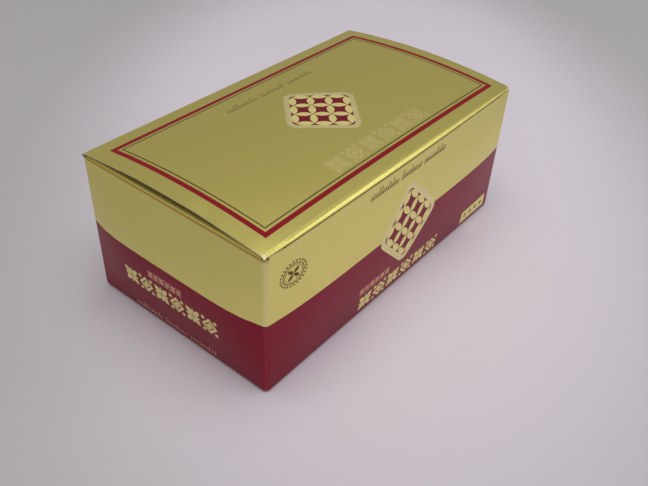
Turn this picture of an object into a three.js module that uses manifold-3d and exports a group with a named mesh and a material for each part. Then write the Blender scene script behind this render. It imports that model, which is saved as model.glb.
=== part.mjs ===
// A folding carton of single-dose powder sachets, as a scene graph of closed solids.
//
// Millimetres, +Z up. The origin is on the table, under the middle of the carton. X runs along the long
// walls, the lid is hinged to the back wall at +Y and its tuck flap goes in behind the front wall at -Y.
// The carton is one sheet of foil-faced board, cut, creased, glued at one corner and folded. Its lid is a
// mesh of its own because it swings. The sachets stand on edge in one row, like cards in a box.

import * as THREE from "three";
import { mergeVertices } from "three/addons/utils/BufferGeometryUtils.js";
import Module from "manifold-3d";

const wasm = await Module();
wasm.setup();

// Carton, outside
const LENGTH = 160;
const WIDTH = 91;
const LID_LEVEL = 63; // the lid's top face along its hinge and at the ends of its front fold
const BOARD = 0.5; // thickness of the sheet
const CLEARANCE = 0.3; // between faces that lie together
const UPRIGHT_FOLD = 2; // outside radius of the four upright folds
const BOTTOM_FOLD = 1.5; // outside radius of the folds at the table
const LONG_WALL_BULGE = 2.2; // the walls swell outwards by this much in their middles
const END_WALL_BULGE = 2.8;
const BULGE_FLATNESS = 5; // a power: the higher it is, the nearer to its ends a wall stays swollen
const FOLD_LAND = 0.5; // a wall stays flat this close to a fold

// Lid
const HINGE_FOLD = 1.2; // outside radius
const FRONT_FOLD = 1.2;
const LID_SETBACK = 0.8; // the lid's front fold stands this far behind the front wall's outer face
const LID_ARCH = 2.8; // the lid bows up between hinge and front fold
const FOLD_BOW = 1.3; // the front fold bows up between its ends
const TUCK_DEPTH = 15; // from the lid's top face down
const TUCK_LEAN = 6; // degrees inwards, so that the flap clears the front wall as it swings
const TUCK_INSET = 3.2; // from the end walls' outer faces to the flap's ends
const TUCK_CORNER = 9; // radius of its two free corners
const WALL_REVEAL = 1.5; // the front and back walls end this far under the lid's top face
const SHOULDER_RISE = 0.8; // the front wall's edge climbs by this much towards each corner
const SHOULDER_RUN = 8;

// Dust flaps, folded in from the tops of the end walls
const DUST_FOLD = 2; // outside radius
const DUST_DEPTH = 38; // from the end wall's outer face
const DUST_SAG = 1.5; // degrees downwards
const DUST_FRONT_INSET = 4; // from the front wall's outer face, to leave room for the tuck flap
const DUST_BACK_INSET = 2.5;
const DUST_SHOULDER = 10; // the free corners are cut off by this much

// Bottom flaps, from the outside in: back flap, end flaps, front flap, and the back flap's tab on top
const LAYER_GAP = 0.1;
const FLAP_RISE = 7; // run over which an end or front flap climbs to its own layer
const CORNER_LIFT = 0.4; // the sheet's corners stay this far off the table
const BACK_FLAP_DEPTH = 45.5;
const FRONT_FLAP_DEPTH = 52;
const FRONT_FLAP_RECESS = 34; // its depth in the middle, where the tab goes in
const END_FLAP_DEPTH = 42;
const END_FLAP_CORNER = 20; // the end flap's free corners are cut off by this much
const TAB_WIDTH = 68;
const TAB_DEPTH = 24; // past the back flap's edge
const TAB_RAMP = 9;
const TAB_CORNER = 6;
const RECESS_MARGIN = 0.6; // the recess is wider than the tab by this much at each end

// Glued lap inside the back wall, where the sheet's two ends meet
const LAP_WIDTH = 14;
const LAP_INSET = 5; // from the fold lines at its top and bottom
const LAP_BEVEL = 6;
const LAP_SINK = 0.25; // the lap's glued face runs this far into the wall

// Sachets
const SACHET_COUNT = 30;
const SACHET_WIDTH = 83; // across the carton
const SACHET_HEIGHT = 54;
const SACHET_FILL = 4.6; // thickness at the fullest point
const SACHET_SEAL = 0.5; // thickness of a pressed seal
const SIDE_SEAL = 6;
const TOP_SEAL = 9;
const BOTTOM_SEAL = 7;
const TUCK_ROOM = 4; // from the front wall's outer face to the sachets
const SACHET_SWAY = 0.5; // the sachets stand a little out of line with each other
const SACHET_ACROSS_STEPS = 8;
const SACHET_UP_STEPS = 6;

// Curves
const ARC_STEPS = 6;
const ARCH_STEPS = 12;
const BOW_STEPS = 12;
const LONG_WALL_STEPS = 16;
const END_WALL_STEPS = 12;
const WALL_UP_STEPS = 10;
const LAP_STEPS = 5;
const OVERLAP = 0.01; // joined solids run this far into each other
const TRIM_MARGIN = 1; // a trimming shape stands this far clear of what it trims

// Worked out from the sizes above
const halfLength = LENGTH / 2;
const halfWidth = WIDTH / 2;
const wallTop = LID_LEVEL - WALL_REVEAL;
const dustTop = LID_LEVEL - BOARD - CLEARANCE;
const dustRoot = dustTop - DUST_FOLD;
const bulgeLow = BOTTOM_FOLD + FOLD_LAND;
const bulgeHigh = dustRoot - FOLD_LAND;
const layer = BOARD + LAYER_GAP;
const lidFront = -halfWidth + LID_SETBACK;
const foldHalfLength = halfLength - UPRIGHT_FOLD; // half the length of the front and back walls' flat part
const foldHalfWidth = halfWidth - UPRIGHT_FOLD;
const mitre = BOTTOM_FOLD + FLAP_RISE; // neighbouring bottom flaps are cut back to a mitre as far as this

const boardFace = new THREE.MeshStandardMaterial({ color: 0xb6a860, roughness: 0.32, metalness: 0.9 });
const lidFace = new THREE.MeshStandardMaterial({ color: 0xb6a860, roughness: 0.32, metalness: 0.9 });
const sachetFilm = new THREE.MeshStandardMaterial({ color: 0xd9d5c8, roughness: 0.35, metalness: 0.6 });

// A closed geometry as a manifold-3d solid
function solid(geometry) {
  const bare = new THREE.BufferGeometry();
  bare.setAttribute("position", geometry.getAttribute("position").clone());
  if (geometry.index) {
    bare.setIndex(geometry.index.clone());
  }
  const merged = mergeVertices(bare, 1e-4);
  const vertProperties = new Float32Array(merged.getAttribute("position").array);
  const triVerts = new Uint32Array(merged.index.array);
  return new wasm.Manifold(new wasm.Mesh({ numProp: 3, vertProperties, triVerts }));
}

// A manifold-3d solid as a geometry with flat faces
function geometryOf(body) {
  const mesh = body.getMesh();
  const indexed = new THREE.BufferGeometry();
  indexed.setAttribute("position", new THREE.BufferAttribute(new Float32Array(mesh.vertProperties), 3));
  indexed.setIndex(new THREE.BufferAttribute(new Uint32Array(mesh.triVerts), 1));
  const flat = indexed.toNonIndexed();
  flat.computeVertexNormals();
  return flat;
}

// The section of a bent sheet: the path is its outer face, and the sheet's thickness lies to the path's right
function sheetSection(path) {
  const outer = path.getPoints(ARC_STEPS).filter((p, i, all) => i === 0 || p.distanceTo(all[i - 1]) > 1e-6);
  const inner = outer.map((p, i) => {
    const before = outer[Math.max(i - 1, 0)];
    const after = outer[Math.min(i + 1, outer.length - 1)];
    const along = after.clone().sub(before).normalize();
    const turn = i > 0 && i < outer.length - 1 ? halfTurn(before, p, after) : 0;
    const right = new THREE.Vector2(along.y, -along.x);
    return p.clone().addScaledVector(right, BOARD / Math.cos(turn));
  });
  return new THREE.Shape([...outer, ...inner.reverse()]);
}

// Half the angle through which a path turns at a point
function halfTurn(before, p, after) {
  const arriving = p.clone().sub(before).angle();
  const leaving = after.clone().sub(p).angle();
  return Math.atan2(Math.sin(leaving - arriving), Math.cos(leaving - arriving)) / 2;
}

// Extrudes a section drawn in Y and Z along X, centred on the carton's middle
function alongX(shape, length, steps = 1) {
  const geometry = new THREE.ExtrudeGeometry(shape, { depth: length, steps, bevelEnabled: false });
  const turned = new THREE.Matrix4().makeBasis(
    new THREE.Vector3(0, 1, 0),
    new THREE.Vector3(0, 0, 1),
    new THREE.Vector3(1, 0, 0),
  );
  return geometry.applyMatrix4(turned).translate(-length / 2, 0, 0);
}

// Extrudes a section drawn in X and Z along Y, between two places
function alongY(shape, from, to) {
  const geometry = new THREE.ExtrudeGeometry(shape, { depth: to - from, bevelEnabled: false });
  const turned = new THREE.Matrix4().makeBasis(
    new THREE.Vector3(1, 0, 0),
    new THREE.Vector3(0, 0, 1),
    new THREE.Vector3(0, -1, 0),
  );
  return geometry.applyMatrix4(turned).translate(0, to, 0);
}

// Extrudes a plan drawn in X and Y upwards, between two heights
function upright(shape, from, to, steps = 1) {
  const options = { depth: to - from, steps, bevelEnabled: false, curveSegments: ARC_STEPS };
  return new THREE.ExtrudeGeometry(shape, options).translate(0, 0, from);
}

function polygon(points) {
  return new THREE.Shape(points.map(([x, y]) => new THREE.Vector2(x, y)));
}

// A rounded rectangle whose straight sides are divided, so that they can be bent afterwards
function dividedRectangle(halfX, halfY, radius) {
  const points = [];
  const corners = [[1, -1], [1, 1], [-1, 1], [-1, -1]];
  corners.forEach(([signX, signY], corner) => {
    for (let i = 0; i <= ARC_STEPS; i += 1) {
      const angle = (corner - 1 + i / ARC_STEPS) * (Math.PI / 2);
      const x = signX * (halfX - radius) + radius * Math.cos(angle);
      const y = signY * (halfY - radius) + radius * Math.sin(angle);
      points.push([x, y]);
    }
    const [x, y] = points[points.length - 1];
    const alongEnd = corner % 2 === 0;
    const steps = alongEnd ? END_WALL_STEPS : LONG_WALL_STEPS;
    for (let i = 1; i < steps; i += 1) {
      const left = 1 - (2 * i) / steps;
      points.push(alongEnd ? [x, y * left] : [x * left, y]);
    }
  });
  return polygon(points);
}

// How far a wall swells at a place along it and a height: nothing at its upright folds, its bottom and its top
function swelling(bulge, place, half, z) {
  const along = 1 - Math.min(Math.abs(place) / half, 1) ** BULGE_FLATNESS;
  const up = THREE.MathUtils.clamp((z - bulgeLow) / (bulgeHigh - bulgeLow), 0, 1);
  return bulge * along * Math.sin(Math.PI * up);
}

// Bends upright walls outwards, the inner and the outer face alike
function swollen(geometry) {
  const position = geometry.getAttribute("position");
  for (let i = 0; i < position.count; i += 1) {
    const x = position.getX(i);
    const y = position.getY(i);
    const z = position.getZ(i);
    if (Math.abs(x) <= foldHalfLength) {
      const out = swelling(LONG_WALL_BULGE, x, foldHalfLength, z);
      position.setY(i, y + Math.sign(y) * out);
    } else if (Math.abs(y) <= foldHalfWidth) {
      const out = swelling(END_WALL_BULGE, y, foldHalfWidth, z);
      position.setX(i, x + Math.sign(x) * out);
    }
  }
  return geometry;
}

function block(x0, x1, y0, y1, z0, z1) {
  const box = new THREE.BoxGeometry(x1 - x0, y1 - y0, z1 - z0);
  return solid(box.translate((x0 + x1) / 2, (y0 + y1) / 2, (z0 + z1) / 2));
}

function mirroredX(body) {
  return body.mirror([1, 0, 0]);
}

// The height of a row of the walls: the first and the last cell are flat, and the rest swell
function rowLevel(row, rows) {
  if (row === 0) {
    return CORNER_LIFT;
  }
  if (row === rows) {
    return wallTop;
  }
  return bulgeLow + ((row - 1) / (rows - 2)) * (bulgeHigh - bulgeLow);
}

// The four walls as one upright sleeve with rounded corners, cut down to each wall's own edges
function sleeve() {
  const outline = dividedRectangle(halfLength, halfWidth, UPRIGHT_FOLD);
  outline.holes.push(dividedRectangle(halfLength - BOARD, halfWidth - BOARD, UPRIGHT_FOLD - BOARD));
  const rows = WALL_UP_STEPS + 2;
  const sheet = upright(outline, 0, rows, rows);
  const position = sheet.getAttribute("position");
  for (let i = 0; i < position.count; i += 1) {
    position.setZ(i, rowLevel(Math.round(position.getZ(i)), rows));
  }
  const walls = solid(swollen(sheet));
  const reach = UPRIGHT_FOLD;
  const endX = [-halfLength - reach, -halfLength + reach];
  const endY = [-foldHalfWidth, foldHalfWidth];
  const longX = [-foldHalfLength, foldHalfLength];
  const endCrease = block(...endX, ...endY, dustRoot, LID_LEVEL);
  const endBase = block(...endX, ...endY, -reach, BOTTOM_FOLD);
  const frontBase = block(...longX, -halfWidth - reach, -halfWidth + reach, -reach, BOTTOM_FOLD);
  const backBase = block(...longX, halfWidth - reach, halfWidth + reach, -reach, BOTTOM_FOLD);
  return walls
    .subtract(endCrease)
    .subtract(mirroredX(endCrease))
    .subtract(endBase)
    .subtract(mirroredX(endBase))
    .subtract(frontBase)
    .subtract(backBase);
}

// The front wall's edge climbs towards the corner at -X
function shoulder() {
  const outline = polygon([
    [-foldHalfLength, wallTop - OVERLAP],
    [-foldHalfLength + SHOULDER_RUN, wallTop - OVERLAP],
    [-foldHalfLength, wallTop + SHOULDER_RISE],
  ]);
  return solid(alongY(outline, -halfWidth, -halfWidth + BOARD));
}

// A dust flap and the fold that carries it, at the -X end
function dustFlap() {
  const path = new THREE.Path();
  const root = dustRoot;
  const tip = -halfLength + DUST_DEPTH;
  const drop = Math.tan(THREE.MathUtils.degToRad(DUST_SAG)) * (DUST_DEPTH - DUST_FOLD);
  path.moveTo(-halfLength, root - OVERLAP);
  path.lineTo(-halfLength, root);
  path.absarc(-halfLength + DUST_FOLD, root, DUST_FOLD, Math.PI, Math.PI / 2, true);
  path.lineTo(tip, dustTop - drop);
  const crease = foldHalfWidth;
  const flap = solid(alongY(sheetSection(path), -crease, crease));
  const step = -halfLength + DUST_FOLD + BOARD;
  const front = -halfWidth + DUST_FRONT_INSET;
  const back = halfWidth - DUST_BACK_INSET;
  const outline = polygon([
    [-halfLength - TRIM_MARGIN, -crease],
    [step, -crease],
    [step, front],
    [tip - DUST_SHOULDER / 2, front],
    [tip, front + DUST_SHOULDER],
    [tip, back - DUST_SHOULDER],
    [tip - DUST_SHOULDER, back],
    [step, back],
    [step, crease],
    [-halfLength - TRIM_MARGIN, crease],
  ]);
  return flap.intersect(solid(upright(outline, root - TRIM_MARGIN, LID_LEVEL)));
}

// A bottom flap's section in a local frame: u runs inwards from the wall's outer face, v is the height
function bottomPath(depth, level) {
  const path = new THREE.Path();
  path.moveTo(depth, level);
  if (level > 0) {
    path.lineTo(BOTTOM_FOLD + FLAP_RISE, level);
  }
  path.lineTo(BOTTOM_FOLD, 0);
  path.absarc(BOTTOM_FOLD, BOTTOM_FOLD, BOTTOM_FOLD, -Math.PI / 2, -Math.PI, true);
  path.lineTo(0, BOTTOM_FOLD + OVERLAP);
  return path;
}

// The mitred outline of a bottom flap in its local frame, from the middle of its root to one free corner
function mitredRoot(half, gap) {
  return [
    [half, -1],
    [half, BOTTOM_FOLD],
    [half - FLAP_RISE - gap, mitre],
  ];
}

// The end flap at the -X end, in the middle layer
function endFlap() {
  const section = sheetSection(bottomPath(END_FLAP_DEPTH, layer));
  const flap = solid(alongY(section, -foldHalfWidth, foldHalfWidth).translate(-halfLength, 0, 0));
  const side = mitredRoot(foldHalfWidth, CLEARANCE);
  const edge = side[side.length - 1][0];
  const half = [
    ...side,
    [edge, END_FLAP_DEPTH - END_FLAP_CORNER],
    [edge - END_FLAP_CORNER, END_FLAP_DEPTH],
  ];
  const other = half.map(([v, u]) => [-v, u]).reverse();
  const outline = polygon([...half, ...other].map(([v, u]) => [u - halfLength, v]));
  return flap.intersect(solid(upright(outline, -TRIM_MARGIN, BOTTOM_FOLD + TRIM_MARGIN)));
}

// The sheet of a front or back flap, cut to its mitres, with its root at the front wall
function longFlap(depth, level) {
  const section = sheetSection(bottomPath(depth, level));
  const flap = solid(alongX(section, 2 * foldHalfLength).translate(0, -halfWidth, 0));
  const side = mitredRoot(foldHalfLength, 0);
  const edge = side[side.length - 1][0];
  const half = [...side, [edge, depth + TRIM_MARGIN]];
  const other = half.map(([v, u]) => [-v, u]).reverse();
  const outline = polygon([...half, ...other].map(([v, u]) => [v, u - halfWidth]));
  return flap.intersect(solid(upright(outline, -TRIM_MARGIN, BOTTOM_FOLD + TRIM_MARGIN)));
}

// The front flap, in the innermost layer, with a recess in its middle for the tab
function frontFlap() {
  const flap = longFlap(FRONT_FLAP_DEPTH, 2 * layer);
  const recess = TAB_WIDTH / 2 + RECESS_MARGIN;
  const edge = -halfWidth + FRONT_FLAP_RECESS;
  return flap.subtract(block(-recess, recess, edge, halfWidth, -1, LID_LEVEL / 2));
}

// The back flap, flat in the outermost layer, with the tab that ramps up through the recess
function backFlap() {
  const flap = longFlap(BACK_FLAP_DEPTH, 0).rotate([0, 0, 180]);
  const edge = halfWidth - BACK_FLAP_DEPTH;
  const path = new THREE.Path();
  path.moveTo(edge + BOARD, 0);
  path.lineTo(edge, 0);
  path.lineTo(edge - TAB_RAMP, 3 * layer);
  path.lineTo(edge - TAB_DEPTH, 3 * layer);
  const tab = solid(alongX(sheetSection(path), TAB_WIDTH));
  const tip = edge - TAB_DEPTH;
  const bevel = polygon([
    [-TAB_WIDTH / 2 - TRIM_MARGIN, tip - TRIM_MARGIN],
    [-TAB_WIDTH / 2 + TAB_CORNER, tip - TRIM_MARGIN],
    [-TAB_WIDTH / 2 + TAB_CORNER, tip],
    [-TAB_WIDTH / 2, tip + TAB_CORNER],
    [-TAB_WIDTH / 2 - TRIM_MARGIN, tip + TAB_CORNER],
  ]);
  const cutter = solid(upright(bevel, 0, LID_LEVEL / 2));
  return flap.add(tab.subtract(cutter).subtract(mirroredX(cutter)));
}

// The glued lap, inside the back wall at the +X end, bent with the wall
function gluedLap() {
  const low = BOTTOM_FOLD + LAP_INSET;
  const high = wallTop - LAP_INSET;
  const depth = BOARD + LAP_SINK;
  const sheet = new THREE.BoxGeometry(LAP_WIDTH, depth, high - low, LAP_STEPS, 1, WALL_UP_STEPS);
  sheet.translate(foldHalfLength - LAP_WIDTH / 2, halfWidth - BOARD + LAP_SINK - depth / 2, (low + high) / 2);
  const position = sheet.getAttribute("position");
  for (let i = 0; i < position.count; i += 1) {
    const inwards = (foldHalfLength - position.getX(i)) / LAP_WIDTH;
    const middle = (low + high) / 2;
    const taper = 1 - (inwards * 2 * LAP_BEVEL) / (high - low);
    position.setZ(i, middle + (position.getZ(i) - middle) * taper);
  }
  return solid(swollen(sheet));
}

function cartonGeometry() {
  const body = sleeve()
    .add(shoulder())
    .add(mirroredX(shoulder()))
    .add(dustFlap())
    .add(mirroredX(dustFlap()))
    .add(endFlap())
    .add(mirroredX(endFlap()))
    .add(frontFlap())
    .add(backFlap())
    .add(gluedLap());
  return geometryOf(body);
}

// The lid's outer face from the tuck flap's free edge, over the front fold and the arch, to the hinge
function lidPath() {
  const path = new THREE.Path();
  const lean = THREE.MathUtils.degToRad(TUCK_LEAN);
  const hingeRow = halfWidth - HINGE_FOLD;
  const frontRow = lidFront + FRONT_FOLD;
  const chord = hingeRow - frontRow;
  const foldY = frontRow - FRONT_FOLD * Math.cos(lean);
  const foldZ = LID_LEVEL - FRONT_FOLD - FRONT_FOLD * Math.sin(lean);
  const free = LID_LEVEL - TUCK_DEPTH;
  path.moveTo(foldY + Math.tan(lean) * (foldZ - free), free);
  path.lineTo(foldY, foldZ);
  path.absarc(frontRow, LID_LEVEL - FRONT_FOLD, FRONT_FOLD, Math.PI + lean, Math.PI / 2, true);
  for (let i = 1; i < ARCH_STEPS; i += 1) {
    const s = i / ARCH_STEPS;
    path.lineTo(frontRow + s * chord, LID_LEVEL + 4 * LID_ARCH * s * (1 - s));
  }
  path.absarc(hingeRow, LID_LEVEL - HINGE_FOLD, HINGE_FOLD, Math.PI / 2, 0, true);
  return path;
}

// What is cut from the tuck flap at the -X end: its inset side and its rounded corner
function tuckTrim() {
  const side = -halfLength + TUCK_INSET;
  const top = LID_LEVEL - FRONT_FOLD;
  const bottom = LID_LEVEL - TUCK_DEPTH;
  const shape = new THREE.Shape();
  shape.moveTo(-halfLength - TRIM_MARGIN, top);
  shape.lineTo(-halfLength - TRIM_MARGIN, bottom - TUCK_CORNER);
  shape.lineTo(side + TUCK_CORNER, bottom - TUCK_CORNER);
  shape.lineTo(side + TUCK_CORNER, bottom);
  shape.absarc(side + TUCK_CORNER, bottom + TUCK_CORNER, TUCK_CORNER, -Math.PI / 2, -Math.PI, true);
  shape.lineTo(side, top);
  return solid(alongY(shape, -halfWidth - TRIM_MARGIN, lidFront + TUCK_CORNER));
}

// The front fold rises between its ends, and the lid's hinge stays straight
function bowed(geometry) {
  const position = geometry.getAttribute("position");
  for (let i = 0; i < position.count; i += 1) {
    const middle = 1 - (position.getX(i) / halfLength) ** 2;
    const towardsFront = (halfWidth - position.getY(i)) / WIDTH;
    position.setZ(i, position.getZ(i) + FOLD_BOW * middle * towardsFront);
  }
  return geometry;
}

function lidGeometry() {
  const sheet = bowed(alongX(sheetSection(lidPath()), LENGTH - 2 * CLEARANCE, BOW_STEPS));
  return geometryOf(solid(sheet).subtract(tuckTrim()).subtract(mirroredX(tuckTrim())));
}

// How full a sachet is from 0 at a seal to 1 in its middle
function swell(place, low, high) {
  const s = THREE.MathUtils.clamp((place - low) / (high - low), 0, 1);
  return Math.sin(Math.PI * s) ** 0.7;
}

// Spreads a box's rows so that one row lies on each seal's inner edge
function rowPlace(index, count, size, firstSeal, lastSeal) {
  if (index === 0) {
    return 0;
  }
  if (index === count) {
    return size;
  }
  return firstSeal + ((index - 1) / (count - 2)) * (size - firstSeal - lastSeal);
}

// One sachet standing on its bottom seal: two films sealed all round over a bed of powder
function sachetGeometry() {
  const grid = new THREE.BoxGeometry(1, 1, 1, 1, SACHET_ACROSS_STEPS, SACHET_UP_STEPS);
  const position = grid.getAttribute("position");
  for (let i = 0; i < position.count; i += 1) {
    const column = Math.round((position.getY(i) + 0.5) * SACHET_ACROSS_STEPS);
    const row = Math.round((position.getZ(i) + 0.5) * SACHET_UP_STEPS);
    const across = rowPlace(column, SACHET_ACROSS_STEPS, SACHET_WIDTH, SIDE_SEAL, SIDE_SEAL);
    const up = rowPlace(row, SACHET_UP_STEPS, SACHET_HEIGHT, BOTTOM_SEAL, TOP_SEAL);
    const full = swell(across, SIDE_SEAL, SACHET_WIDTH - SIDE_SEAL)
      * swell(up, BOTTOM_SEAL, SACHET_HEIGHT - TOP_SEAL);
    const thickness = SACHET_SEAL + (SACHET_FILL - SACHET_SEAL) * full;
    position.setXYZ(i, Math.sign(position.getX(i)) * thickness / 2, across - SACHET_WIDTH / 2, up);
  }
  return geometryOf(solid(grid));
}

// The height of the bottom's top face under a sachet
function seatLevel(x) {
  const onTab = Math.abs(x) < TAB_WIDTH / 2 + SACHET_FILL / 2;
  return (onTab ? 3 : 2) * layer + BOARD;
}

function placeSachets(group) {
  const room = LENGTH - 2 * BOARD;
  const pitch = room / SACHET_COUNT;
  const rowMiddle = (-halfWidth + TUCK_ROOM + halfWidth - 2 * BOARD) / 2;
  const shape = sachetGeometry();
  for (let i = 0; i < SACHET_COUNT; i += 1) {
    const sachet = new THREE.Mesh(shape, sachetFilm);
    const x = -room / 2 + (i + 0.5) * pitch;
    const sway = SACHET_SWAY * Math.sin(2.4 * i);
    sachet.name = "sachet_" + String(i + 1).padStart(2, "0");
    sachet.position.set(x, rowMiddle + sway, seatLevel(x) + CLEARANCE);
    group.add(sachet);
  }
}

const carton = new THREE.Group();

const body = new THREE.Mesh(cartonGeometry(), boardFace);
body.name = "carton_body";
carton.add(body);

const lid = new THREE.Mesh(lidGeometry(), lidFace);
lid.name = "lid";
carton.add(lid);

placeSachets(carton);

export default carton;
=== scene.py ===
import math
import bpy
import bmesh
from mathutils import Matrix, Vector
from mathutils.bvhtree import BVHTree


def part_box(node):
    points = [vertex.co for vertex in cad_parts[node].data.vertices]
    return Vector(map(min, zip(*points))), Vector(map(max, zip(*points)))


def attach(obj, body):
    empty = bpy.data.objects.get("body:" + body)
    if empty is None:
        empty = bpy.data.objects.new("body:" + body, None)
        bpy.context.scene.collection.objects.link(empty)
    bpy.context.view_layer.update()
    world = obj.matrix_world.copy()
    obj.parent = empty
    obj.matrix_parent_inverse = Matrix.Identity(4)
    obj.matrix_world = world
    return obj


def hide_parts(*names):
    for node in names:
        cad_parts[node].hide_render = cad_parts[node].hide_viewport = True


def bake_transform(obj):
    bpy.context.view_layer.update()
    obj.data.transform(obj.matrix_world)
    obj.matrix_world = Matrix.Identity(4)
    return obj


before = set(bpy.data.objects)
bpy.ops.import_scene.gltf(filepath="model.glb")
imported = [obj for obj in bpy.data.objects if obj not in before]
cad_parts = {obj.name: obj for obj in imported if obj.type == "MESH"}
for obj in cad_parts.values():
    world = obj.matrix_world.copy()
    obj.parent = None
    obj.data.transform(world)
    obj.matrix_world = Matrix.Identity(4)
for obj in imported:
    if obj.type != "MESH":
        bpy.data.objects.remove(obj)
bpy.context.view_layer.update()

# The camera stands where the photograph was taken from: above the near left corner of the carton,
# looking down at it, with a slight roll. Its lens is an ordinary one for a small camera.
camera_azimuth, camera_elevation, camera_roll = 0.92184, 0.66973, 0.05343
camera_place = Vector((-0.20808, -0.16493, 0.20862))
focal_length_px, picture_width_px, sensor_width_mm = 740.5, 648, 36
forwards = Vector((math.sin(camera_azimuth) * math.cos(camera_elevation),
                   math.cos(camera_azimuth) * math.cos(camera_elevation),
                   -math.sin(camera_elevation)))
level = forwards.cross(Vector((0, 0, 1))).normalized()
upwards = level.cross(forwards)
right = level * math.cos(camera_roll) + upwards * math.sin(camera_roll)
above = upwards * math.cos(camera_roll) - level * math.sin(camera_roll)
camera = bpy.data.objects.new("camera", bpy.data.cameras.new("camera"))
camera.data.sensor_width = sensor_width_mm
camera.data.lens = focal_length_px / picture_width_px * sensor_width_mm
camera.data.clip_start = 0.01
camera.matrix_world = Matrix((
    (right.x, above.x, -forwards.x, camera_place.x),
    (right.y, above.y, -forwards.y, camera_place.y),
    (right.z, above.z, -forwards.z, camera_place.z),
    (0, 0, 0, 1)))
bpy.context.scene.collection.objects.link(camera)
bpy.context.scene.camera = camera
bpy.context.scene.view_settings.view_transform = "Standard"


# The table is a plain pale sheet with a faint lilac cast, seamless to the edge of the picture. It is matt, so
# the carton throws only a soft grey shadow on it, and a painted pool of light makes its colour palest in a
# long pool round the carton.
def plain_mesh(name, vertices, faces):
    mesh = bpy.data.meshes.new(name)
    mesh.from_pydata(vertices, [], faces)
    piece = bpy.data.objects.new(name, mesh)
    bpy.context.scene.collection.objects.link(piece)
    return piece


def finish_named(name):
    finish = bpy.data.materials.new(name)
    finish.use_nodes = True
    return finish, finish.node_tree, finish.node_tree.nodes["Principled BSDF"]


def blended_colour(tree, share, first, second):
    node = tree.nodes.new("ShaderNodeMix")
    node.data_type = "RGBA"
    for socket, value in ((node.inputs[0], share), (node.inputs[6], first), (node.inputs[7], second)):
        if isinstance(value, tuple):
            socket.default_value = (*value, 1)
        else:
            tree.links.new(value, socket)
    return node.outputs[2]


def distance_share(tree, vector, near, far):
    distance = tree.nodes.new("ShaderNodeVectorMath")
    distance.operation = "LENGTH"
    falloff = tree.nodes.new("ShaderNodeMapRange")
    falloff.interpolation_type = "SMOOTHSTEP"
    falloff.inputs["From Min"].default_value = near
    falloff.inputs["From Max"].default_value = far
    tree.links.new(vector, distance.inputs[0])
    tree.links.new(distance.outputs["Value"], falloff.inputs["Value"])
    return falloff.outputs[0]


table_half, table_level = 4, -0.0002
table_corners = [(x * table_half, y * table_half, table_level)
                 for x, y in ((-1, -1), (1, -1), (1, 1), (-1, 1))]
table_sheet = plain_mesh("table_sheet", table_corners, [(0, 1, 2, 3)])
table_finish, tree, shader = finish_named("matt_lilac_paper")
backdrop_colour = (0.52, 0.50, 0.55, 1)
shader.inputs["Roughness"].default_value = 0.9
# A painted pool of light: the paper's colour is painted paler in a long oval round the carton and darker
# beyond it.
place_node = tree.nodes.new("ShaderNodeTexCoord")
painted_pool = tree.nodes.new("ShaderNodeMapping")
painted_pool.vector_type = "TEXTURE"
painted_pool.inputs["Location"].default_value = (0.105, 0.045, 0)
painted_pool.inputs["Rotation"].default_value = (0, 0, math.pi / 2 - camera_azimuth)
painted_pool.inputs["Scale"].default_value = (1.8, 1, 1)
tree.links.new(place_node.outputs["Object"], painted_pool.inputs["Vector"])
beyond_painted_pool = distance_share(tree, painted_pool.outputs[0], 0.095, 0.20)
painted_pool_colour = blended_colour(tree, beyond_painted_pool, (0.765, 0.72, 0.835), (0.50, 0.495, 0.55))
tree.links.new(painted_pool_colour, shader.inputs["Base Color"])
haze = tree.nodes.new("ShaderNodeEmission")
haze.inputs["Color"].default_value = backdrop_colour
sweep = tree.nodes.new("ShaderNodeMixShader")
tree.links.new(distance_share(tree, place_node.outputs["Object"], 0.35, 1.1), sweep.inputs[0])
tree.links.new(shader.outputs[0], sweep.inputs[1])
tree.links.new(haze.outputs[0], sweep.inputs[2])
tree.links.new(sweep.outputs[0], tree.nodes["Material Output"].inputs[0])
table_sheet.data.materials.append(table_finish)

# One soft window stands to the right of the camera and draws a bright line along the lid's front fold.
# The rest of the room is even and a little warm and dim, and that is what the lid's satin foil reflects.
world = bpy.data.worlds.new("dim_room")
world.use_nodes = True
room = world.node_tree.nodes["Background"]
room.inputs["Color"].default_value = (1.0, 0.92, 0.80, 1)
room.inputs["Strength"].default_value = 0.30
backdrop = world.node_tree.nodes.new("ShaderNodeBackground")
backdrop.inputs["Color"].default_value = backdrop_colour
seen = world.node_tree.nodes.new("ShaderNodeLightPath")
either = world.node_tree.nodes.new("ShaderNodeMixShader")
world.node_tree.links.new(seen.outputs["Is Camera Ray"], either.inputs[0])
world.node_tree.links.new(room.outputs[0], either.inputs[1])
world.node_tree.links.new(backdrop.outputs[0], either.inputs[2])
world.node_tree.links.new(either.outputs[0], world.node_tree.nodes["World Output"].inputs[0])
bpy.context.scene.world = world


def soft_light(name, place, aim, size, power, colour):
    lamp = bpy.data.lights.new(name, "AREA")
    lamp.shape = "RECTANGLE"
    lamp.size, lamp.size_y = size
    lamp.energy = power
    lamp.color = colour
    light = bpy.data.objects.new(name, lamp)
    light.location = place
    light.rotation_euler = (Vector(aim) - Vector(place)).to_track_quat("-Z", "Y").to_euler()
    bpy.context.scene.collection.objects.link(light)


soft_light("window", (0.53, -0.66, 0.47), (0, -0.05, 0.02), (0.34, 0.24), 0.5, (1.0, 0.99, 0.98))
soft_light("pale_wall", (0.60, -0.80, 0.22), (0, -0.05, 0.05), (0.7, 0.40), 0.75, (1.0, 0.98, 0.94))
soft_light("ceiling", (-0.08, -0.16, 1.35), (0, 0, 0), (1.2, 1.2), 10.3, (1.0, 1.0, 1.0))
soft_light("far_wall", (-0.85, 0.62, 0.85), (0, 0, 0.03), (0.7, 0.5), 0.22, (1.0, 0.80, 0.5))

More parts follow.
